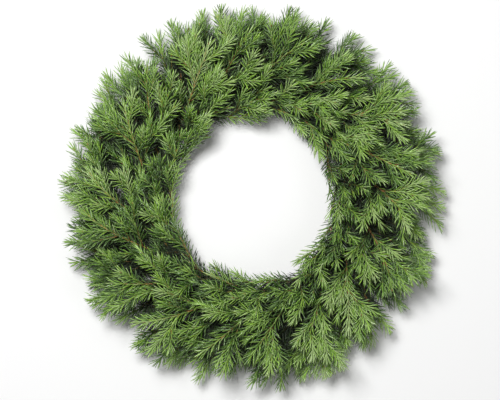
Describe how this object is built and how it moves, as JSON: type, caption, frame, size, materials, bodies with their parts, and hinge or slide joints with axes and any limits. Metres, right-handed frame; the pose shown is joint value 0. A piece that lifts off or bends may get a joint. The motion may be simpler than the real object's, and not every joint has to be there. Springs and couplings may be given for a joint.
{
  "type": "evergreen wreath",
  "caption": "Round fresh spruce wreath with a wide open middle, its sprays bound clockwise onto a wire ring.",
  "frame": {"origin": "on the surface that the wreath lies on, below the middle of its ring", "axes": "+Z from the wreath's back to its face; X and Y lie across the ring, +Y towards the top of the picture"},
  "size_m": [0.6088, 0.6047, 0.1074],
  "materials": {
    "spruce": "fresh waxy green needles on orange-brown twigs",
    "ring_wire": "dark green lacquered steel wire",
    "binding_wire": "thin green lacquered iron wire"
  },
  "bodies": {
    "root": {"binding_wire": "binding_wire", "ring": "ring_wire", "spray_face_01": "spruce", "spray_face_02": "spruce", "spray_face_03": "spruce", "spray_face_04": "spruce", "spray_face_05": "spruce", "spray_face_06": "spruce", "spray_face_07": "spruce", "spray_face_08": "spruce", "spray_face_09": "spruce", "spray_face_10": "spruce", "spray_face_11": "spruce", "spray_face_12": "spruce", "spray_face_13": "spruce", "spray_face_14": "spruce", "spray_face_15": "spruce", "spray_face_16": "spruce", "spray_face_17": "spruce", "spray_face_18": "spruce", "spray_inner_01": "spruce", "spray_inner_02": "spruce", "spray_inner_03": "spruce", "spray_inner_04": "spruce", "spray_inner_05": "spruce", "spray_inner_06": "spruce", "spray_inner_07": "spruce", "spray_inner_08": "spruce", "spray_inner_09": "spruce", "spray_inner_10": "spruce", "spray_inner_11": "spruce", "spray_inner_12": "spruce", "spray_inner_13": "spruce", "spray_inner_14": "spruce", "spray_inner_15": "spruce", "spray_inner_16": "spruce", "spray_inner_17": "spruce", "spray_inner_18": "spruce", "spray_outer_01": "spruce", "spray_outer_02": "spruce", "spray_outer_03": "spruce", "spray_outer_04": "spruce", "spray_outer_05": "spruce", "spray_outer_06": "spruce", "spray_outer_07": "spruce", "spray_outer_08": "spruce", "spray_outer_09": "spruce", "spray_outer_10": "spruce", "spray_outer_11": "spruce", "spray_outer_12": "spruce", "spray_outer_13": "spruce", "spray_outer_14": "spruce", "spray_outer_15": "spruce", "spray_outer_16": "spruce", "spray_outer_17": "spruce", "spray_outer_18": "spruce"}
  },
  "joints": []
}
